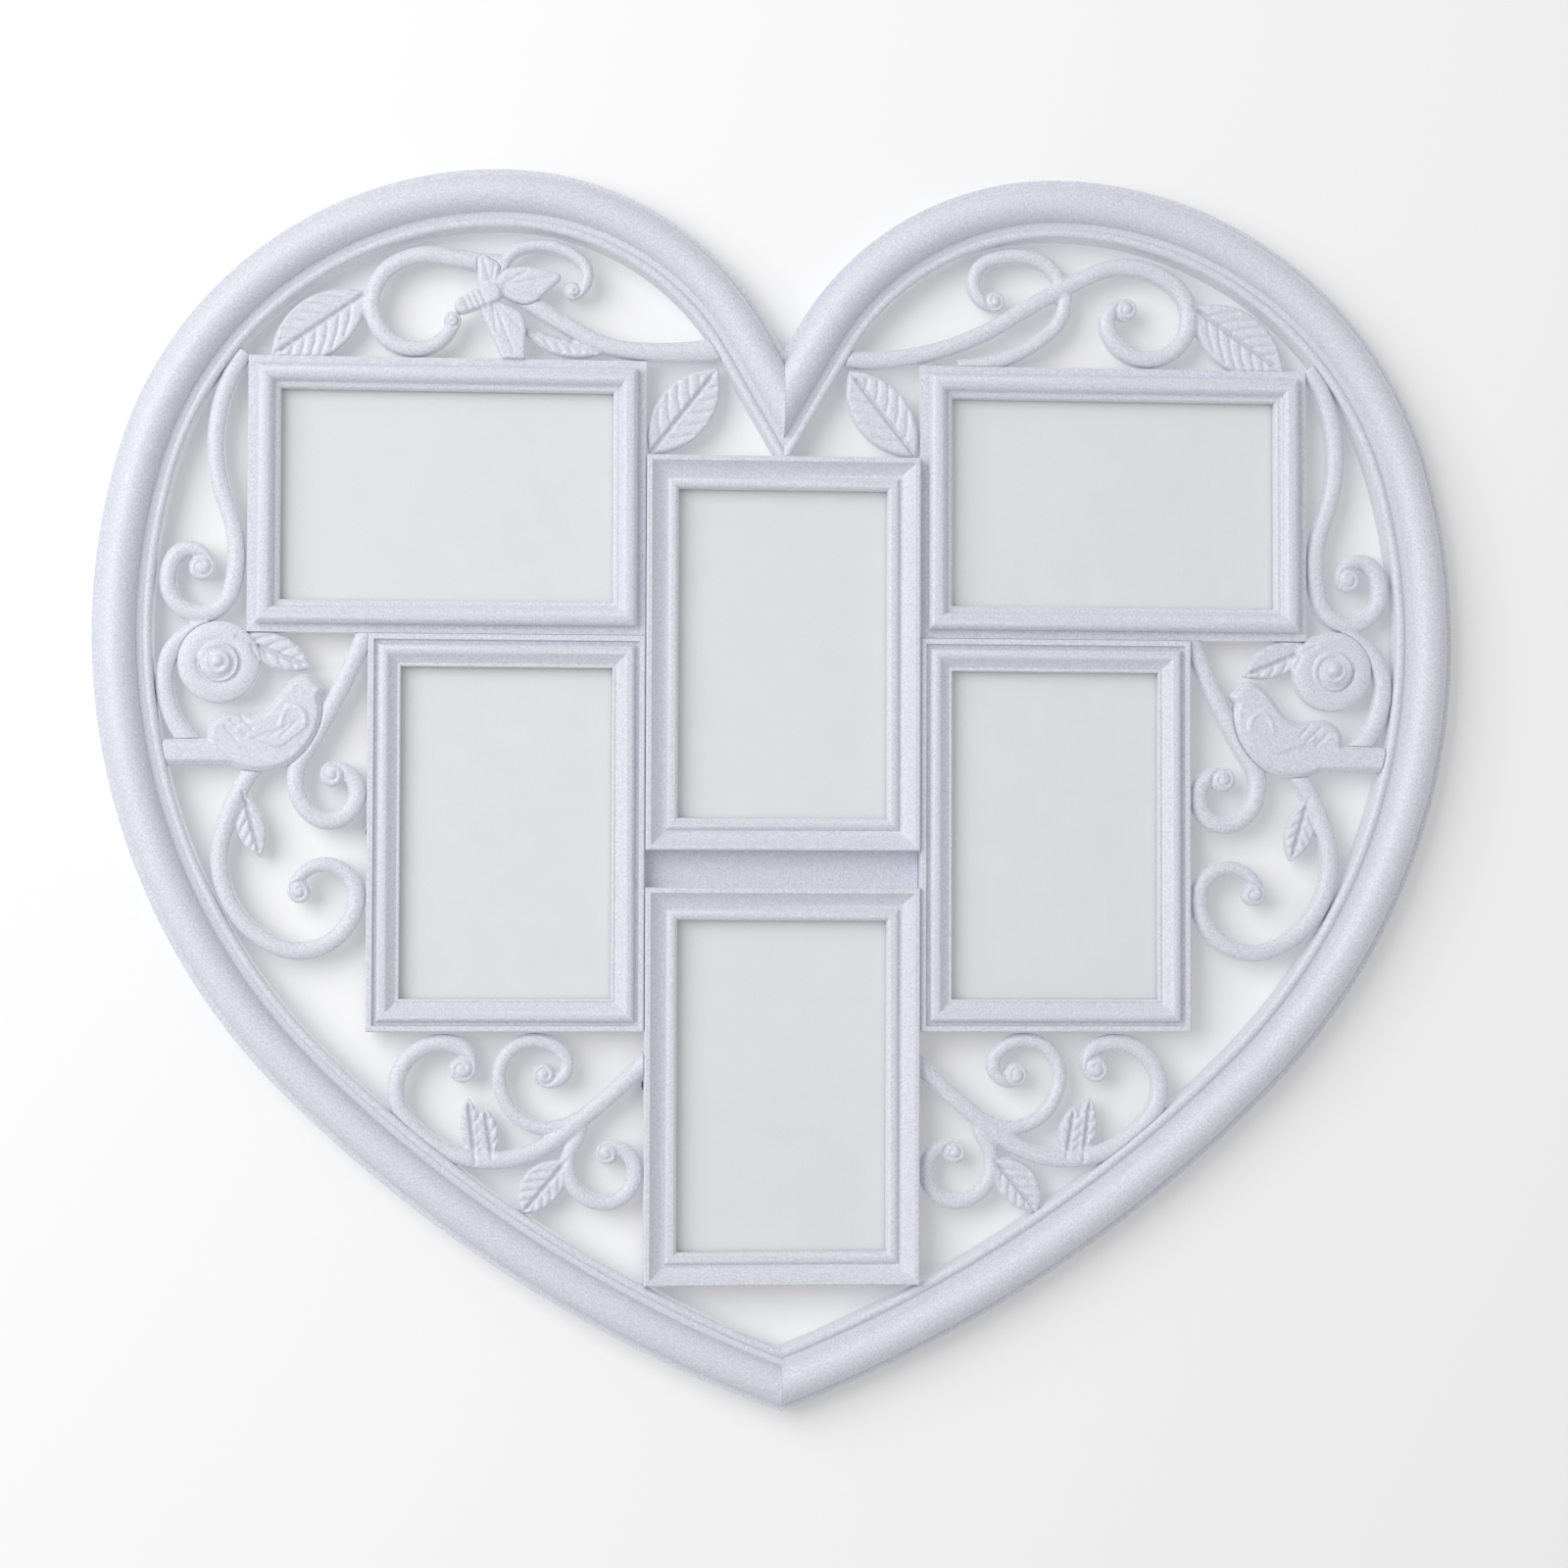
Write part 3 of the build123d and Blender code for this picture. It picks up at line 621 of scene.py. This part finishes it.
@dataclass
class Scrollwork:
    """Scrolls, leaves, rosettes and birds between the rim and the window frames, in millimetres.

    The corners pocket, base, crest and notch are those of the frames that the ornaments are drawn from. A
    value ending in _w or _d is the width or the depth of a kind of line.
    """

    finish: bpy.types.Material
    pocket: Point = (226.0, -185.2)
    base: Point = (58.3, -352.9)
    crest: Point = (142.3, -68.6)
    notch: Point = (58.6, -108.82)
    rosette: Point = (11.4, -12.9)
    rosette_r: float = 8.6
    rosette_w: float = 1.9
    rosette_d: float = 1.1
    bird_h: float = 13.9
    shoulder_w: float = 1.6
    shoulder_d: float = -0.5
    feather_w: float = 1.3
    feather_d: float = 0.35
    tuft_d: float = 0.7
    ring_w: float = 1.1
    ring_d: float = 0.6
    wing_w: float = 1.2
    wing_d: float = 0.5

    def at(self, place: Point, *points: Point) -> tuple[Point, ...]:
        """Points moved to a corner of a frame."""
        return tuple((place[0] + x, place[1] + z) for x, z in points)

    def leaf(
        self, place: Point, base: Point, tip: Point, left: float, right: float, pairs: int,
    ) -> list[Groove]:
        """Veins of a leaf that is given from a corner of a frame."""
        return Leaf(*self.at(place, base, tip), left, right, pairs).veins()

    def lines(self, place: Point, paths: list[tuple[Point, ...]], width: float, depth: float) -> list[Groove]:
        """Grooves of one kind that are given from a corner of a frame."""
        return [Groove(self.at(place, *path), width, depth) for path in paths]

    def right_half(self) -> dict[str, list[Groove]]:
        """Grooves of the ornaments that both halves share, drawn for the right one.

        Returns:
            Grooves by the name of the node, without its side.
        """
        hub = self.at(self.pocket, self.rosette)[0]
        return {
            "scroll_upper": [Eye((244.8, -158.3), 5.4, 272, 1).swirl()],
            "scroll_lower": [Eye((203.2, -294.2), 4.9, 280, -1).swirl()]
            + self.leaf(self.pocket, (0.9, -67.8), (-6.6, -94.8), 6.5, 5.5, 4),
            "scroll_side": [Eye((189.6, -245.0), 5.4, 358, -1).swirl()],
            "scroll_base": [
                Eye((134.7, -368.7), 5.6, 301, 1).swirl(),
                Eye((100.2, -371.1), 4.9, 30, 1).swirl(),
                Eye((73.6, -404.1), 4.8, 335, -1).swirl(),
            ]
            + self.leaf(self.base, (70.7, -55), (74, -27.5), 4.4, 4.4, 4)
            + self.leaf(self.base, (63.7, -53), (66.9, -32), 4.5, 5.5, 3)
            + self.leaf(self.base, (32.7, -54.5), (51.2, -76.5), 9.5, 7, 4),
            "leaf_notch": self.leaf(self.notch, (-1.7, 1), (-30.7, 38), 11.5, 11.5, 5),
            "rosette": [Eye(hub, self.rosette_r, 90, -1, self.rosette_w, self.rosette_d).swirl()]
            + self.leaf(self.pocket, (3.9, -2.3), (-27.1, -15.1), 6, 8, 4),
            "bird": self.feathers(),
        }

    def feathers(self) -> list[Groove]:
        """Draw the lines of the bird.

        Returns:
            Raised arch of its wing, faint feather strokes under it, and the tuft over its tail.
        """
        shoulder = (
            (-24.8, -38.5), (-24.5, -34.8), (-22.6, -31.9), (-19.6, -30.8),
            (-17, -32.2), (-15.6, -35.6), (-14.8, -39.3),
        )
        strokes = [((-21.5 + 4 * k, -37.5 - 2 * k), (-15 + 5.5 * k, -44 - 0.5 * k)) for k in range(3)]
        tuft = [((-3.2, -41), (1.4, -36.4)), ((-0.5, -43.5), (6, -37.4)), ((4, -45), (8.4, -40.5))]
        return (
            self.lines(self.pocket, [shoulder], self.shoulder_w, self.shoulder_d)
            + self.lines(self.pocket, strokes, self.feather_w, self.feather_d)
            + self.lines(self.pocket, tuft, self.feather_w, self.tuft_d)
        )

    def tops(self) -> dict[str, list[Groove]]:
        """Grooves of the ornaments over the upper frames, which differ from side to side.

        Returns:
            Grooves by the name of the node.
        """
        leaf = self.leaf(self.crest, (34.6, 27.6), (74.6, -0.4), 12, 13, 6)
        far = (-self.crest[0], self.crest[1])
        return {
            "scroll_top_right": leaf + [
                Eye((147.6, -42.8), 4.8, 2, -1).swirl(), Eye((90.7, -40.1), 4.3, 352, 1).swirl(),
            ],
            "scroll_top_left": [groove.mirrored() for groove in leaf]
            + self.leaf(far, (29.5, 12.5), (64, 3.2), 2.5, 4.5, 5)
            + [Eye((-140.7, -52.2), 3.7, 72, 1).swirl(), Eye((-90, -39), 3.7, 195, -1).swirl()],
            "butterfly": self.butterfly(far),
        }

    def butterfly(self, place: Point) -> list[Groove]:
        """Draw the lines of the butterfly.

        Args:
            place: Corner of the frame that it is given from.

        Returns:
            Rings of its body and lines of its wings.
        """
        rings = [((5.5 + 2.3 * k, 27 + k), (8.9 + 2.3 * k, 19.6 + k)) for k in range(4)]
        wings = [
            ((17.5, 32), (14.4, 42)), ((18, 32), (19.2, 40)), ((23, 31), (44, 35)), ((23, 30), (37, 26)),
            ((24, 32), (33, 37.5)), ((19, 24), (27.5, 3)), ((18.5, 23), (20, 12)), ((20, 24), (31, 12)),
        ]
        return (
            self.lines(place, rings, self.ring_w, self.ring_d)
            + self.lines(place, wings, self.wing_w, self.wing_d)
        )

    def build(self) -> None:
        """Build every ornament of the scrollwork."""
        for name, grooves in self.right_half().items():
            for side in Side:
                cut = grooves if side is Side.RIGHT else [groove.mirrored() for groove in grooves]
                piece = Ornament(f"{name}_{side.value}", self.finish, grooves=cut)
                if name == "bird":
                    piece.press_from = self.bird_h
                piece.build()
        for name, grooves in self.tops().items():
            Ornament(name, self.finish, grooves=grooves).build()


@dataclass(frozen=True)
class RimArc:
    """Arc of the heart's outer edge, in millimetres, and in degrees from straight up towards its side."""

    centre: Point
    radius: float
    first: float
    last: float

    def inset(self, plan: np.ndarray) -> np.ndarray:
        """Work out how far inside the edge each place lies.

        Args:
            plan: X, counted from the middle of the heart, and Z of the places, in millimetres.

        Returns:
            Distance from the edge, or minus one where the arc doesn't run by the place.
        """
        reach = plan - np.array(self.centre)
        angle = np.degrees(np.arctan2(reach[:, 0], reach[:, 1]))
        beside = (angle >= self.first) & (angle <= self.last)
        return np.where(beside, self.radius - np.linalg.norm(reach, axis=1), -1.0)


@dataclass
class Rim(MouldedForm):
    """Half of the heart rim, with the bead along its inner edge drawn truly round, in millimetres."""

    arcs: tuple[RimArc, ...] = (
        RimArc((118.6, -117.0), 129.5, -60.0, 0.0),
        RimArc((118.6, -155.106), 167.606, 0.0, 74.2),
        RimArc((15.745, -184.211), 274.5, 74.2, 135.1),
        RimArc((-205.32, 37.627), 587.68, 135.1, 160.0),
    )
    bead_out: float = 21.0
    bead_in: float = 25.0
    land_h: float = 12.6
    bead_h: float = 14.0
    slack: float = 0.03
    sliver: float = 0.005
    cuts: int = 6

    def survey(self, piece: bpy.types.Object) -> tuple[np.ndarray, np.ndarray]:
        """Measure the vertices of the rim.

        Args:
            piece: The rim.

        Returns:
            Places in millimetres, one row for each vertex, and their distances from the outer edge.
        """
        places = np.empty(len(piece.data.vertices) * 3)
        piece.data.vertices.foreach_get("co", places)
        places = places.reshape(-1, 3) / MM
        plan = np.stack([np.abs(places[:, 0]), places[:, 2]], axis=1)
        return places, np.max([arc.inset(plan) for arc in self.arcs], axis=0)

    def corners(self, piece: bpy.types.Object) -> tuple[np.ndarray, np.ndarray]:
        """List the corners of the faces.

        Args:
            piece: The rim.

        Returns:
            Vertex of each corner, and the face that it belongs to.
        """
        mesh = piece.data
        vertices = np.empty(len(mesh.loops), dtype=int)
        mesh.loops.foreach_get("vertex_index", vertices)
        totals = np.empty(len(mesh.polygons), dtype=int)
        mesh.polygons.foreach_get("loop_total", totals)
        return vertices, np.repeat(np.arange(len(totals)), totals)

    def shape(self, piece: bpy.types.Object) -> None:
        """Cut the long faces of the bead small and lift them onto its round.

        Args:
            piece: The merged rim.
        """
        places, inset = self.survey(piece)
        vertices, faces = self.corners(piece)
        band = (inset > self.bead_out - self.slack) & (inset < self.bead_in + self.slack)
        band &= -places[:, 1] > self.land_h - self.slack
        chosen = np.ones(len(piece.data.polygons), dtype=bool)
        chosen[faces[~band[vertices]]] = False
        edit_chosen(piece, Element.FACE, chosen)
        bpy.ops.mesh.subdivide(number_cuts=self.cuts)
        bpy.ops.object.mode_set(mode="OBJECT")
        self.lift(piece)
        edit_all(piece)
        bpy.ops.mesh.dissolve_degenerate(threshold=self.sliver * MM)
        bpy.ops.object.mode_set(mode="OBJECT")

    def lift(self, piece: bpy.types.Object) -> None:
        """Set the height of the vertices inside the selected band from the round of the bead.

        Args:
            piece: The rim, with the cut faces of its bead selected.
        """
        places, inset = self.survey(piece)
        vertices, faces = self.corners(piece)
        chosen = np.empty(len(piece.data.polygons), dtype=bool)
        piece.data.polygons.foreach_get("select", chosen)
        inside = np.zeros(len(places), dtype=bool)
        inside[vertices[chosen[faces]]] = True
        inside[vertices[~chosen[faces]]] = False
        half = (self.bead_in - self.bead_out) / 2
        rise = self.bead_h - self.land_h
        round_r = (half**2 + rise**2) / (2 * rise)
        off = np.clip(inset - self.bead_out - half, -half, half)
        height = self.bead_h - round_r + np.sqrt(round_r**2 - off**2)
        places[inside, 1] = -height[inside]
        piece.data.vertices.foreach_set("co", (places * MM).ravel())
        piece.data.update()


@dataclass
class Framework:
    """Heart rim, window frames and the bar between the middle ones."""

    finish: bpy.types.Material

    def build(self) -> None:
        """Build the mouldings of the framework."""
        for name in sorted(frame["nodes"]):
            if name.startswith("rim_"):
                Rim(name, self.finish).build()
            elif name.startswith("frame_") or name == "web_bar":
                MouldedForm(name, self.finish).build()


@dataclass
class Screws(MouldedForm):
    """Screws of one kind, with a cross cut into each head for the driver, in millimetres."""

    slot: Slot = Slot.STEEL
    cross_span: float = 3.2
    cross_w: float = 0.75
    cross_d: float = 0.9

    def heads(self, piece: bpy.types.Object) -> list[Vector]:
        """Find the middle of each head.

        Args:
            piece: The screws.

        Returns:
            Places on the rear faces of the heads, in metres.
        """
        spare = add_copy("spare_screws", piece.data)
        edit_all(spare)
        bpy.ops.mesh.separate(type="LOOSE")
        bpy.ops.object.mode_set(mode="OBJECT")
        places = []
        for screw in list(bpy.context.selected_objects):
            low, high = Vector(screw.bound_box[0]), Vector(screw.bound_box[6])
            places.append(Vector(((low.x + high.x) / 2, high.y, (low.z + high.z) / 2)))
            bpy.data.objects.remove(screw)
        return places

    def shape(self, piece: bpy.types.Object) -> None:
        """Cut the two slots of each cross.

        Args:
            piece: The merged screws.
        """
        heads = self.heads(piece)
        long, short, deep = self.cross_span * MM, self.cross_w * MM, 2 * self.cross_d * MM
        for size in ((long, deep, short), (short, deep, long)):
            slots = []
            deselect()
            for head in heads:
                bpy.ops.mesh.primitive_cube_add(size=1, location=head, scale=size)
                slots.append(bpy.context.object)
            for slot in slots:
                slot.select_set(True)
            bpy.ops.object.join()
            cutter = bpy.context.object
            apply_modifier(piece, "BOOLEAN", object=cutter, operation="DIFFERENCE", solver="EXACT")
            bpy.data.objects.remove(cutter)


@dataclass
class Fittings:
    """Panes, prints, boards, turn buttons and hangers, whose CAD shapes are kept, and the screws."""

    finishes: dict[Slot, bpy.types.Material]

    def build(self) -> None:
        """Dress each fitting in the material of its slot, then build the screws."""
        slots = {entry["node"]: Slot(entry["material_slot"]) for entry in frame["record"]["subparts"]}
        for name, slot in slots.items():
            if slot in self.finishes:
                dress(frame["nodes"][name], self.finishes[slot])
                log.info("%s: %s", name, self.finishes[slot].name)
        for name in ("button_screws", "hanger_screws"):
            Screws(name, self.finishes[Slot.STEEL]).build()


@dataclass(frozen=True)
class Lamp:
    """Square soft lamp, with its place and width in metres and its power in watts."""

    name: str
    place: Place
    size: float
    watts: float

    def build(self, aim: Place) -> None:
        """Add the lamp.

        Args:
            aim: Place that it points at, in metres.
        """
        deselect()
        bpy.ops.object.light_add(type="AREA", location=self.place)
        lamp = bpy.context.object
        lamp.name = self.name
        lamp.data.shape = "SQUARE"
        lamp.data.size = self.size
        lamp.data.energy = self.watts
        lamp.rotation_euler = (Vector(aim) - Vector(self.place)).to_track_quat("-Z", "Y").to_euler()


@dataclass
class Studio:
    """Wall and floor, soft lamps, and the camera where the photo was taken, in metres."""

    middle: Place = (0.0016, 0.0, -0.2475)
    camera_at: Place = (-0.127, -1.4935, -0.3017)
    roll: float = 0.17
    lens: float = 80.5
    sensor: float = 36.0
    clip_start: float = 0.05
    clip_end: float = 50.0
    wall_gap: float = 0.0006
    wall_size: float = 6.0
    floor_z: float = -0.78
    floor_run: float = 4.0
    floor_slack: float = 0.01
    cove: float = 0.12
    cove_cuts: int = 16
    crease: float = 40.0
    paper: str = "#FFFFFF"
    sky: float = 0.57
    lamps: tuple[Lamp, ...] = (
        Lamp("key_lamp", (-1.5, -1.6, 0.45), 1.9, 32.0),
        Lamp("back_lamp", (0.9, 1.6, 0.8), 1.6, 7.0),
    )

    def backdrop(self) -> None:
        """Build the wall and floor as one coved sheet of white paper."""
        deselect()
        bpy.ops.mesh.primitive_plane_add(
            size=self.wall_size, location=(0, self.wall_gap, self.floor_z + self.wall_size / 2),
            rotation=(math.radians(90), 0, 0),
        )
        sheet = bpy.context.object
        sheet.name = "studio_backdrop"
        bpy.ops.object.transform_apply(location=True, rotation=True, scale=True)
        self.edit_foot(sheet)
        bpy.ops.mesh.extrude_region_move(TRANSFORM_OT_translate={"value": (0, -self.floor_run, 0)})
        bpy.ops.object.mode_set(mode="OBJECT")
        self.edit_foot(sheet)
        bpy.ops.mesh.bevel(offset=self.cove, segments=self.cove_cuts, affect="EDGES")
        bpy.ops.mesh.select_all(action="SELECT")
        bpy.ops.mesh.normals_make_consistent(inside=False)
        bpy.ops.object.mode_set(mode="OBJECT")
        wall = max(sheet.data.polygons, key=lambda face: face.center.z)
        if wall.normal.y > 0:
            edit_all(sheet)
            bpy.ops.mesh.flip_normals()
            bpy.ops.object.mode_set(mode="OBJECT")
        bpy.ops.object.shade_smooth_by_angle(angle=math.radians(self.crease))
        dress(sheet, self.paper_finish())

    def edit_foot(self, sheet: bpy.types.Object) -> None:
        """Enter edit mode with the edge selected along which the wall meets the floor.

        Args:
            sheet: The backdrop.
        """
        places = [vertex.co for vertex in sheet.data.vertices]
        foot = [place.z < self.floor_z + self.floor_slack and place.y > 0 for place in places]
        chosen = [all(foot[k] for k in edge.vertices) for edge in sheet.data.edges]
        edit_chosen(sheet, Element.EDGE, np.array(chosen))

    def seen(self, tree: bpy.types.NodeTree, *rays: str) -> bpy.types.NodeSocket:
        """Tell rays of some kinds from all others.

        Args:
            tree: Node tree that gets the test.
            rays: Outputs of the Light Path node.

        Returns:
            Socket that is one for a ray of any of these kinds.
        """
        path = add_node(tree, "ShaderNodeLightPath")
        found = path.outputs[rays[0]]
        for ray in rays[1:]:
            found = add_node(
                tree, "ShaderNodeMath", operation="MAXIMUM", in_0=found, in_1=path.outputs[ray],
            ).outputs[0]
        return found

    def paper_finish(self) -> bpy.types.Material:
        """White paper, seen from its front and only where the camera looks, so it never darkens the back.

        Returns:
            The finished material.
        """
        material, tree, out = blank_material("white backdrop paper")
        seen = self.seen(tree, "Is Camera Ray", "Is Transmission Ray")
        behind = add_node(tree, "ShaderNodeNewGeometry").outputs["Backfacing"]
        front = add_node(tree, "ShaderNodeMath", operation="SUBTRACT", in_0=seen, in_1=behind, use_clamp=True)
        clear = add_node(tree, "ShaderNodeBsdfTransparent")
        paper = add_node(tree, "ShaderNodeBsdfDiffuse", Color=linear(self.paper))
        both = add_node(
            tree, "ShaderNodeMixShader", in_0=front.outputs[0], in_1=clear.outputs["BSDF"],
            in_2=paper.outputs["BSDF"],
        )
        tree.links.new(both.outputs["Shader"], out.inputs["Surface"])
        return material

    def world(self) -> None:
        """Even light from all round, white where the camera or a reflection sees it."""
        world = bpy.data.worlds.new("studio")
        bpy.context.scene.world = world
        world.use_nodes = True
        tree = world.node_tree
        tree.nodes.clear()
        seen = self.seen(tree, "Is Camera Ray", "Is Glossy Ray", "Is Transmission Ray")
        light = add_node(tree, "ShaderNodeBackground", Color=(1, 1, 1, 1), Strength=self.sky)
        white = add_node(tree, "ShaderNodeBackground", Color=(1, 1, 1, 1), Strength=1.0)
        both = add_node(
            tree, "ShaderNodeMixShader", in_0=seen, in_1=light.outputs["Background"],
            in_2=white.outputs["Background"],
        )
        out = add_node(tree, "ShaderNodeOutputWorld")
        tree.links.new(both.outputs["Shader"], out.inputs["Surface"])

    def camera(self) -> None:
        """Place the camera at the photo's angle."""
        deselect()
        look = (Vector(self.middle) - Vector(self.camera_at)).to_track_quat("-Z", "Y").to_matrix()
        look = look @ Euler((0, 0, math.radians(self.roll))).to_matrix()
        bpy.ops.object.camera_add(location=self.camera_at, rotation=look.to_euler())
        camera = bpy.context.object
        camera.name = "photo_camera"
        camera.data.lens = self.lens
        camera.data.sensor_width = self.sensor
        camera.data.clip_start = self.clip_start
        camera.data.clip_end = self.clip_end
        bpy.context.scene.camera = camera

    def build(self) -> None:
        """Build the studio."""
        self.backdrop()
        self.world()
        for lamp in self.lamps:
            lamp.build(self.middle)
        self.camera()
        bpy.context.scene.view_settings.view_transform = "Standard"
        log.info("studio")


def main() -> None:
    """Build the frame's pieces in order, then the studio."""
    logging.basicConfig(level=logging.INFO, format="%(message)s")
    polystyrene = MouldedPolystyrene().build()
    Framework(polystyrene).build()
    Scrollwork(polystyrene).build()
    Fittings({
        Slot.PANE: ClearAcrylic().build(),
        Slot.PRINT: coated_paper.build(),
        Slot.BOARD: pressed_board.build(),
        Slot.BUTTON: polypropylene.build(),
        Slot.STEEL: zinc_steel.build(),
    }).build()
    Studio().build()


if __name__ == "__main__":
    main()
